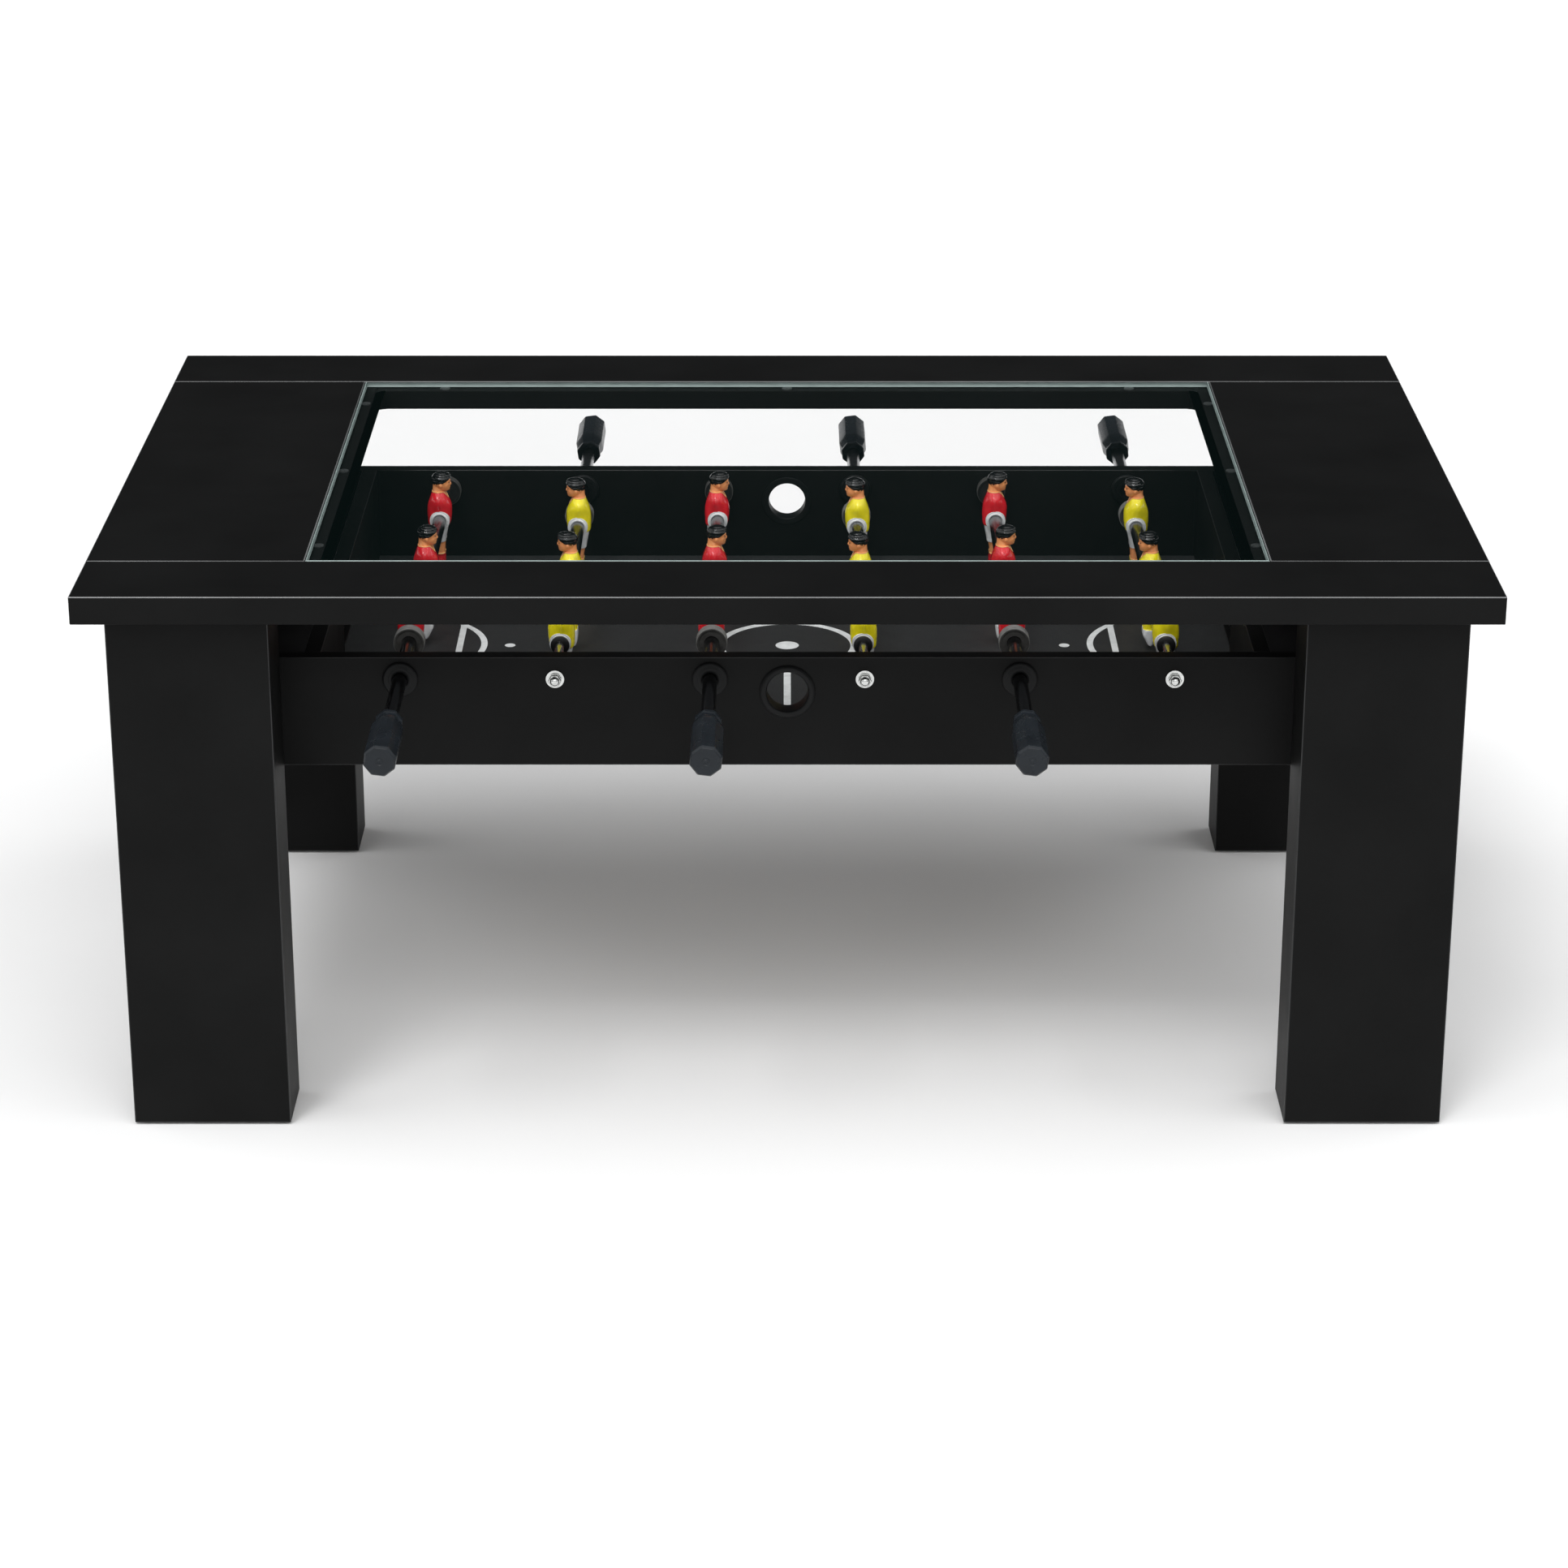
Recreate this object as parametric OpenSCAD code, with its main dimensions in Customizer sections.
// Coffee table with a table football game under its glass top.
// Units are millimetres. X runs along the table, Y runs across it from the front to the back,
// Z is up, and the origin is on the floor under the middle of the table.

/* [Table] */
// Length of the tabletop
top_l = 1220; // [1160:10:1300]
// Depth of the tabletop, front to back
top_w = 762; // [742:2:800]
// Height of the tabletop above the floor
table_h = 508; // [490:1:560]
// Thickness of the tabletop boards
top_t = 25; // [20:1:30]
// Depth of the front and back rails that border the glass
rail_w = 97; // [90:1:110]
// Length of the glass
glass_l = 840; // [830:2:860]
// Thickness of the glass
glass_t = 5; // [4:1:8]
// Width of the ledge that carries the glass
ledge_w = 12; // [8:1:16]

/* [Legs] */
// Size of a leg along the table
leg_l = 140; // [100:5:160]
// Size of a leg across the table
leg_w = 70; // [60:1:80]
// How far the tabletop overhangs the legs
overhang = 25; // [15:1:35]
// Height of the glides under the legs
glide_h = 2; // [1:0.5:5]

/* [Playing box] */
// Height of the playfield above the floor
field_z = 330; // [320:1:345]
// Height of the top edge of the playing box above the floor
box_top_z = 420; // [416:1:430]
// Height of the playing box's walls
box_h = 101; // [95:1:112]
// Thickness of the box's boards
board_t = 15; // [12:1:15]
// Thickness of the playfield board
field_t = 9; // [6:1:9]
// Distance between the goal walls
field_l = 820; // [800:2:830]
// Width of a goal
goal_w = 165; // [150:5:200]
// Height of a goal
goal_h = 60; // [50:1:65]

/* [Rods] */
// Distance from one rod to the next
rod_pitch = 136; // [134:1:140]
// Height of the rods above the floor
rod_z = 400; // [398:1:402]
// Outer diameter of a sliding tube
tube_d = 12.7; // [12:0.1:14]
// Wall of a sliding tube
tube_wall = 1.5; // [1:0.1:2]
// Diameter of the fixed inner rod
inner_d = 8; // [6:0.5:8]
// Distance from one player to the next on a rod
player_pitch = 170; // [160:1:172]
// How far a rod stands pushed in at rest
rest_push = 10; // [5:1:15]
// Length of a handle
handle_l = 95; // [80:1:110]
// Width of a handle across its corners
handle_d = 29; // [25:1:32]

/* [Hidden] */

$fn = 64;
eps = 0.1; // overshoot of a cut past the face that it opens
fit = 0.05; // radial play of a pressed or running fit

// tabletop
top_z = table_h - top_t;
glass_w = top_w - 2 * rail_w;
pad_h = 1;
pad_d = 10;
ledge_h = top_t - glass_t - pad_h;
corner_r = 10; // rounding of the opening's inner corners

// legs, whose inner faces carry the playing box
leg_x = top_l / 2 - overhang - leg_l; // inner end of a leg
leg_y = top_w / 2 - overhang - leg_w; // inner face of a leg
leg_mid_x = leg_x + leg_l / 2;
leg_mid_y = leg_y + leg_w / 2;
glide_d = 30;

// playing box
box_z = box_top_z - box_h;
wall_y = leg_y - board_t; // inner face of the front and back aprons
apron_l = 2 * (leg_x + leg_l - 5); // stops 5 short of the legs' outer faces
groove = 6; // depth of the grooves and rebates in the aprons
goal_x = field_l / 2; // inner face of a goal wall
field_end = goal_x + board_t - groove; // the playfield stops in a rebate of the goal wall
tray_x = goal_x + board_t;
tray_t = 6;
end_x = apron_l / 2 - board_t; // inner face of an end apron
batten_l = 2 * (leg_y - 36);
batten_w = 40;
batten_h = 12;
batten_gap = 270;
entry_z = 388; // centre of the ball's entry hole
entry_bore_d = 36.6;
entry_sleeve_d = 41;
entry_flange_d = 49;
entry_flange_t = 3;
entry_rim_t = 1.5; // the thinner flange on the inside of an apron

// rods, drawn with the handle at the front and the players facing +X
rods = 6;
tube_r = tube_d / 2;
tube_bore_r = tube_r - tube_wall;
flange_d = 31;
flange_t = 4;
sleeve_d = 20;
handle_out = leg_y + 108; // inner end of a handle
tube_in_handle = 85;
player_w = 30;
first_player = -player_pitch + rest_push;
last_player = player_pitch + rest_push;
tube_end = last_player + 16;
guide_flange = 3.8;
guide_gap = 0.2;
guide_in = 25;
guide_d = 17;
bumper_d = 28;
bumper_t = 12;
bumper_y = first_player - player_w / 2 - 6 - bumper_t; // handle side of the near bumper
far_bumper_t = 10;
inner_free = -40; // free end of the fixed rod, inside the tube
stud_d = 6;
washer_d = 16.3;
washer_t = 1.5;
nut_d = 11.5;
nut_h = 5;
dome_d = 8;
dome_h = 3.5;

// colours
black = [0.10, 0.10, 0.11];
plastic = [0.07, 0.07, 0.08];
steel = [0.72, 0.73, 0.75];
red = [0.75, 0.06, 0.09];
yellow = [0.95, 0.85, 0.06];
beech = [0.80, 0.66, 0.45];

// ---- helpers ----

// a box from its lowest corner to its highest
module block(from, to) {
    translate(from)
        cube(to - from);
}

// a cylinder along +Y that starts at y
module bar_y(y, d, h) {
    translate([0, y, 0])
        rotate([-90, 0, 0])
            cylinder(d = d, h = h);
}

// a ring along +Y that starts at y
module ring_y(y, d, bore, h) {
    difference() {
        bar_y(y, d, h);
        bar_y(y - eps, bore, h + 2 * eps);
    }
}

// the four corners, by mirroring the one at +X +Y
module four_corners() {
    for (mx = [0, 1], my = [0, 1])
        mirror([mx, 0, 0])
            mirror([0, my, 0])
                children();
}

function rod_x(n) = (n - (rods + 1) / 2) * rod_pitch;

// odd rods have their handle at the front, even ones at the back, facing the other way
function turned(n) = n % 2 == 1 ? 0 : 180;

module on_rod(n) {
    translate([rod_x(n), 0, rod_z])
        rotate([0, 0, turned(n)])
            children();
}

module on_every_rod() {
    for (n = [1 : rods])
        on_rod(n)
            children();
}

// ---- tabletop ----

dowel_d = 8;
dowel_l = 40;
dowel_x = 40; // half the distance between a leg's two upright dowels
seam_dowels = [-65, 0, 65]; // dowels across a seam, from the middle of a leg
seam_dowel_z = top_z + 10;

// the dowels, or with a larger diameter the holes for them
module dowel_set(d, l) {
    four_corners() {
        for (x = [-dowel_x, dowel_x])
            translate([leg_mid_x + x, leg_mid_y, top_z + 12 - dowel_l + (dowel_l - l) / 2])
                cylinder(d = d, h = l);
        for (x = seam_dowels)
            translate([leg_mid_x + x, glass_w / 2 - l / 2, seam_dowel_z])
                rotate([-90, 0, 0])
                    cylinder(d = d, h = l);
    }
}

module dowels() {
    color(beech)
        dowel_set(dowel_d, dowel_l);
}

module dowel_holes() {
    dowel_set(dowel_d + 2 * fit, dowel_l + 1);
}

// the rail along the back edge; the front one is its mirror image
module top_rail() {
    difference() {
        union() {
            block([-top_l / 2, glass_w / 2, top_z], [top_l / 2, top_w / 2, table_h]);
            block(
                [-glass_l / 2 + ledge_w, glass_w / 2 - ledge_w, top_z],
                [glass_l / 2 - ledge_w, glass_w / 2 + eps, top_z + ledge_h]
            );
        }
        dowel_holes();
    }
}

module top_back_rail() {
    color(black)
        top_rail();
}

module top_front_rail() {
    color(black)
        mirror([0, 1, 0])
            top_rail();
}

// rounds the opening's corner, under the glass
module corner_fillet() {
    translate([glass_l / 2 - ledge_w - corner_r, glass_w / 2 - ledge_w - corner_r, top_z])
        difference() {
            cube([corner_r + eps, corner_r, ledge_h]);
            translate([0, 0, -eps])
                cylinder(r = corner_r, h = ledge_h + 2 * eps);
        }
}

// the panel at the right-hand end, between the rails
module top_panel() {
    difference() {
        union() {
            block([glass_l / 2, -glass_w / 2, top_z], [top_l / 2, glass_w / 2, table_h]);
            block(
                [glass_l / 2 - ledge_w, -glass_w / 2, top_z],
                [glass_l / 2 + eps, glass_w / 2, top_z + ledge_h]
            );
            corner_fillet();
            mirror([0, 1, 0])
                corner_fillet();
        }
        dowel_holes();
        for (side = [0, 1])
            mirror([0, side, 0])
                at_bracket_screws()
                    screw_hole(2 * fit);
    }
}

module top_right_panel() {
    color(black)
        top_panel();
}

module top_left_panel() {
    color(black)
        mirror([1, 0, 0])
            top_panel();
}

module glass_panel() {
    gap = 0.5; // play around the glass
    color([0.75, 0.85, 0.82, 0.35])
        block(
            [-glass_l / 2 + gap, -glass_w / 2 + gap, table_h - glass_t],
            [glass_l / 2 - gap, glass_w / 2 - gap, table_h]
        );
}

// clear pads between the ledge and the glass: one near each corner, one half-way along each side
module glass_pads() {
    in = ledge_w / 2;
    spots = [
        [glass_l / 2 - in, glass_w / 2 - 60],
        [glass_l / 2 - 80, glass_w / 2 - in]
    ];
    color([0.8, 0.85, 0.85, 0.6]) {
        four_corners()
            for (spot = spots)
                translate([spot[0], spot[1], top_z + ledge_h])
                    cylinder(d = pad_d, h = pad_h);
        for (side = [-1, 1]) {
            translate([0, side * (glass_w / 2 - in), top_z + ledge_h])
                cylinder(d = pad_d, h = pad_h);
            translate([side * (glass_l / 2 - in), 0, top_z + ledge_h])
                cylinder(d = pad_d, h = pad_h);
        }
    }
}

// ---- legs and what holds them ----

bolt_d = 8;
bolt_l = 50;
bolt_head_d = 13;
bolt_head_h = 5;
bolt_spots = [[-35, 345], [35, 395]]; // along X from the middle of a leg, and up from the floor
bracket_t = 2;
bracket_w = 50;
bracket_leg = 36;
screw_d = 4;
screw_l = 16;
screw_head_d = 8;
screw_head_h = 2.2;
screw_x = 15; // half the distance between the screws of one flange
screw_in = 22; // distance of the screws from the bracket's bend

// the leg bolts' shanks, or with a larger diameter their holes, at the right rear leg
module bolt_shanks(d, l) {
    for (spot = bolt_spots)
        translate([leg_mid_x + spot[0], wall_y, spot[1]])
            rotate([-90, 0, 0])
                cylinder(d = d, h = l);
}

module leg_bolts() {
    color(steel)
        four_corners() {
            bolt_shanks(bolt_d, bolt_l);
            for (spot = bolt_spots)
                translate([leg_mid_x + spot[0], wall_y - bolt_head_h, spot[1]])
                    rotate([-90, 0, 0])
                        cylinder(d = bolt_head_d, h = bolt_head_h);
        }
}

// places its child at each screw of the right rear bracket, pointing along +Z from the head
module at_bracket_screws() {
    for (x = [-screw_x, screw_x]) {
        translate([leg_mid_x + x, leg_y - bracket_t, top_z - screw_in])
            rotate([-90, 0, 0])
                children();
        translate([leg_mid_x + x, leg_y - screw_in, top_z - bracket_t])
            children();
    }
}

// a pan-head wood screw: the head sits on the metal, the shank goes through it
module wood_screw() {
    translate([0, 0, -screw_head_h])
        cylinder(d = screw_head_d, h = screw_head_h);
    cylinder(d = screw_d, h = screw_l - 3);
    translate([0, 0, screw_l - 3])
        cylinder(d1 = screw_d, d2 = 0.8, h = 3);
}

module screw_hole(play) {
    translate([0, 0, -eps])
        cylinder(d = screw_d + play, h = screw_l + 0.5);
}

module bracket_screws() {
    color(steel)
        four_corners()
            at_bracket_screws()
                wood_screw();
}

// an angle bracket in the corner of each leg and the tabletop
module leg_brackets() {
    color(steel)
        four_corners()
            difference() {
                union() {
                    block(
                        [leg_mid_x - bracket_w / 2, leg_y - bracket_t, top_z - bracket_leg],
                        [leg_mid_x + bracket_w / 2, leg_y, top_z]
                    );
                    block(
                        [leg_mid_x - bracket_w / 2, leg_y - bracket_leg, top_z - bracket_t],
                        [leg_mid_x + bracket_w / 2, leg_y, top_z]
                    );
                }
                at_bracket_screws()
                    screw_hole(2 * fit);
            }
}

// the right rear leg
module leg() {
    difference() {
        block([leg_x, leg_y, glide_h], [leg_x + leg_l, leg_y + leg_w, top_z]);
        bolt_shanks(bolt_d + 2 * fit, bolt_l + 1);
        at_bracket_screws()
            screw_hole(2 * fit);
        dowel_holes();
    }
}

module leg_back_right() {
    color(black)
        leg();
}

module leg_back_left() {
    color(black)
        mirror([1, 0, 0])
            leg();
}

module leg_front_right() {
    color(black)
        mirror([0, 1, 0])
            leg();
}

module leg_front_left() {
    color(black)
        mirror([1, 0, 0])
            mirror([0, 1, 0])
                leg();
}

module foot_glides() {
    color(plastic)
        four_corners()
            for (x = [-dowel_x, dowel_x])
                translate([leg_mid_x + x, leg_mid_y, 0])
                    cylinder(d = glide_d, h = glide_h);
}

// ---- playing box ----

// the back apron before its holes: one board with a groove for the playfield and a rebate for the trays
module apron_board() {
    difference() {
        block([-apron_l / 2, wall_y, box_z], [apron_l / 2, leg_y, box_top_z]);
        block([-field_end, wall_y - eps, field_z - field_t], [field_end, wall_y + groove, field_z]);
        for (side = [0, 1])
            mirror([side, 0, 0])
                block(
                    [tray_x, wall_y - eps, box_z - eps],
                    [end_x + groove, wall_y + groove, box_z + tray_t]
                );
        four_corners()
            bolt_shanks(bolt_d + 2 * fit, bolt_l);
        translate([0, 0, entry_z])
            bar_y(wall_y - eps, entry_sleeve_d + 2 * fit, board_t + 2 * eps);
    }
}

// holes along the front apron: a bushing's at odd rods, a fixed rod's at even ones
module apron_rod_holes() {
    for (n = [1 : rods])
        on_rod(n) {
            bar_y(-leg_y - eps, sleeve_d + 2 * fit, board_t + 2 * eps);
            bar_y(wall_y - eps, inner_d + 2 * fit, board_t + 2 * eps);
        }
}

module back_apron() {
    color(black)
        difference() {
            apron_board();
            apron_rod_holes();
        }
}

module front_apron() {
    color(black)
        difference() {
            mirror([0, 1, 0])
                apron_board();
            apron_rod_holes();
        }
}

// boards that close the box's ends, with a rebate for the tray
module end_aprons() {
    color(black)
        for (side = [0, 1])
            mirror([side, 0, 0])
                difference() {
                    block([end_x, -wall_y, box_z], [end_x + board_t, wall_y, box_top_z]);
                    block(
                        [end_x - eps, -wall_y - eps, box_z - eps],
                        [end_x + groove, wall_y + eps, box_z + tray_t]
                    );
                }
}

// the right-hand goal wall: it stands on the playfield's end and has the goal cut in it
module goal_wall() {
    difference() {
        block([goal_x, -wall_y, box_z], [tray_x, wall_y, box_top_z]);
        block([goal_x - eps, -wall_y - eps, box_z - eps], [field_end, wall_y + eps, field_z]);
        block([goal_x - eps, -goal_w / 2, field_z], [tray_x + eps, goal_w / 2, field_z + goal_h]);
    }
}

module goal_wall_right() {
    color(black)
        goal_wall();
}

module goal_wall_left() {
    color(black)
        mirror([1, 0, 0])
            goal_wall();
}

module playfield() {
    color([0.20, 0.20, 0.21])
        block(
            [-field_end, -wall_y - groove, field_z - field_t],
            [field_end, wall_y + groove, field_z]
        );
}

// the floors behind the goals, lower than the playfield
module ball_trays() {
    color([0.16, 0.16, 0.17])
        for (side = [0, 1])
            mirror([side, 0, 0])
                block(
                    [tray_x, -wall_y - groove, box_z],
                    [end_x + groove, wall_y + groove, box_z + tray_t]
                );
}

// cross-battens that keep the playfield from sagging
module playfield_battens() {
    color(beech)
        for (x = [-batten_gap, 0, batten_gap])
            translate([x - batten_w / 2, -batten_l / 2, field_z - field_t - batten_h])
                cube([batten_w, batten_l, batten_h]);
}

// flanged rings in the front and back aprons, where the ball is dropped in
module ball_entry_rings() {
    color(plastic)
        for (side = [0, 1])
            mirror([0, side, 0])
                translate([0, 0, entry_z])
                    difference() {
                        union() {
                            bar_y(wall_y - entry_rim_t, entry_flange_d, entry_rim_t);
                            bar_y(wall_y - entry_rim_t, entry_sleeve_d, board_t + entry_rim_t);
                            bar_y(leg_y, entry_flange_d, entry_flange_t);
                        }
                        bar_y(
                            wall_y - entry_rim_t - eps,
                            entry_bore_d,
                            board_t + entry_rim_t + entry_flange_t + 2 * eps
                        );
                    }
}

// ---- rod supports ----

// flanged bushings that the tubes slide and turn in
module rod_bushings() {
    mouth_d = tube_d + 2; // flared mouth
    mouth_h = 1.5;
    color(plastic)
        on_every_rod()
            difference() {
                union() {
                    bar_y(-leg_y - flange_t, flange_d, flange_t);
                    bar_y(-leg_y - eps, sleeve_d, board_t + flange_t + eps);
                }
                bar_y(-leg_y - flange_t - eps, tube_d + 2 * fit, board_t + 2 * flange_t + 2 * eps);
                bar_y(-leg_y - flange_t - eps, mouth_d, mouth_h + eps);
            }
}

// ring nuts that clamp the bushings from inside the box
module bushing_nuts() {
    color(plastic)
        on_every_rod()
            ring_y(-wall_y, flange_d, sleeve_d + 2 * fit, flange_t);
}

// fixed rods, with a thinner threaded end through the apron's outer face
module inner_rods() {
    color(steel)
        on_every_rod() {
            bar_y(inner_free, inner_d, leg_y - inner_free);
            bar_y(leg_y - eps, stud_d, washer_t + nut_h + eps);
        }
}

module rod_end_washers() {
    color(steel)
        on_every_rod()
            ring_y(leg_y, washer_d, stud_d + 2 * fit, washer_t);
}

// hexagon dome nuts
module rod_end_nuts() {
    color(steel)
        on_every_rod()
            translate([0, leg_y + washer_t, 0])
                rotate([-90, 0, 0])
                    difference() {
                        union() {
                            cylinder(d = nut_d, h = nut_h, $fn = 6);
                            translate([0, 0, nut_h - eps])
                                cylinder(d1 = dome_d, d2 = dome_d / 2, h = dome_h + eps);
                        }
                        translate([0, 0, -eps])
                            cylinder(d = stud_d + 2 * fit, h = nut_h + eps);
                    }
}

// rubber rings against the far wall, which stop the tubes
module far_bumpers() {
    color(plastic)
        on_every_rod()
            ring_y(wall_y - far_bumper_t, bumper_d, inner_d + 2 * fit, far_bumper_t);
}

// ---- sliding rods ----

// a nylon guide in the tube's open end; it slides on the fixed rod while the tube turns round it
module rod_guide() {
    color(plastic)
        difference() {
            union() {
                bar_y(tube_end - guide_in, 2 * (tube_bore_r - fit), guide_in + guide_gap + eps);
                bar_y(tube_end + guide_gap, guide_d, guide_flange);
            }
            bar_y(tube_end - guide_in - eps, inner_d + 2 * fit, guide_in + guide_flange + 1);
        }
}

module rod_tube() {
    from = -handle_out - tube_in_handle;
    color([0.12, 0.12, 0.13])
        ring_y(from, tube_d, 2 * tube_bore_r, tube_end - from);
}

// a rubber ring between the tube's bushing and the player beside it
module rod_bumper() {
    color(plastic)
        ring_y(bumper_y, bumper_d, tube_d + 2 * fit, bumper_t);
}

// an eight-sided grip with a collar and a waist at its inner end
module rod_handle() {
    collar_d = 24.6;
    waist_d = 23;
    collar_l = 6;
    waist_l = 2.5;
    swell_l = 16;
    chamfer = 1.8;
    turn = 30; // the flats don't line up with the players
    swell_from = collar_l + waist_l;
    grip_from = swell_from + swell_l;
    color(plastic)
        translate([0, -handle_out, 0])
            rotate([90, turn, 0])
                difference() {
                    union() {
                        cylinder(d = collar_d, h = collar_l, $fn = 8);
                        translate([0, 0, collar_l - eps])
                            cylinder(d = waist_d, h = waist_l + 2 * eps, $fn = 8);
                        translate([0, 0, swell_from])
                            cylinder(d1 = waist_d, d2 = handle_d, h = swell_l, $fn = 8);
                        translate([0, 0, grip_from - eps])
                            cylinder(d = handle_d, h = handle_l - chamfer - grip_from + eps, $fn = 8);
                        translate([0, 0, handle_l - chamfer])
                            cylinder(d1 = handle_d, d2 = handle_d - 2 * chamfer, h = chamfer, $fn = 8);
                    }
                    translate([0, 0, -eps])
                        cylinder(d = tube_d + 2 * fit, h = tube_in_handle + eps);
                }
}

// a side outline (forward, up) cut to a front outline (half-width, up)
module carved(side, front) {
    intersection() {
        translate([0, player_w / 2, 0])
            rotate([90, 0, 0])
                linear_extrude(player_w)
                    polygon(side);
        translate([-20, 0, 0])
            rotate([90, 0, 90])
                linear_extrude(40)
                    polygon(concat(front, [for (i = [len(front) - 1 : -1 : 0]) [-front[i][0], front[i][1]]]));
    }
}

// one player, its rod axis at the origin, facing +X
module player() {
    torso_side = [
        [-10.5, -10], [7.5, -10], [9.5, -5], [11.4, 4], [11.2, 13], [9, 21],
        [5, 27], [-8, 28], [-10, 24], [-12.5, 14], [-12.8, 4], [-11.5, -6]
    ];
    torso_front = [[12, -10], [12.5, 0], [14, 10], [15, 18], [13, 25], [8, 28]];
    leg_side = [
        [-10.8, -8], [-8, -22], [-5.5, -34], [-5, -40], [-6.5, -48], [-7, -55], [-5, -64],
        [0, -64], [4, -57], [5.5, -51], [4.2, -46], [4.4, -34], [5.2, -20], [7.6, -8]
    ];
    leg_front = [[12, -8], [12, -22], [9.5, -26], [9, -44], [10.5, -50], [11, -64]];
    neck = [0, 20];
    neck_r = 5.5;
    head = [2.5, 36.5];
    hair = [1.5, 37.5];
    head_r = 9.5;
    difference() {
        union() {
            carved(torso_side, torso_front);
            carved(leg_side, leg_front);
            bar_y(-player_w / 2, 18, player_w);
            translate([neck[0], 0, neck[1]])
                cylinder(r = neck_r, h = head[1] - neck[1]);
            translate([head[0], 0, head[1]])
                sphere(r = head_r);
            translate([hair[0], 0, hair[1]])
                sphere(r = head_r);
        }
        bar_y(-player_w / 2 - eps, tube_d + 2 * fit, player_w + 2 * eps);
    }
}

module rod_players(n) {
    color(n % 2 == 1 ? red : yellow)
        for (y = [first_player, rest_push, last_player])
            translate([0, y, 0])
                player();
}

// ---- nodes ----

top_front_rail();
top_back_rail();
top_left_panel();
top_right_panel();
glass_panel();
glass_pads();
leg_front_left();
leg_front_right();
leg_back_left();
leg_back_right();
foot_glides();
leg_brackets();
bracket_screws();
dowels();
leg_bolts();
front_apron();
back_apron();
end_aprons();
goal_wall_left();
goal_wall_right();
playfield();
ball_trays();
playfield_battens();
ball_entry_rings();
rod_bushings();
bushing_nuts();
inner_rods();
rod_end_washers();
rod_end_nuts();
far_bumpers();
for (n = [1 : rods]) {
    on_rod(n) rod_guide();
    on_rod(n) rod_tube();
    on_rod(n) rod_players(n);
    on_rod(n) rod_bumper();
    on_rod(n) rod_handle();
}
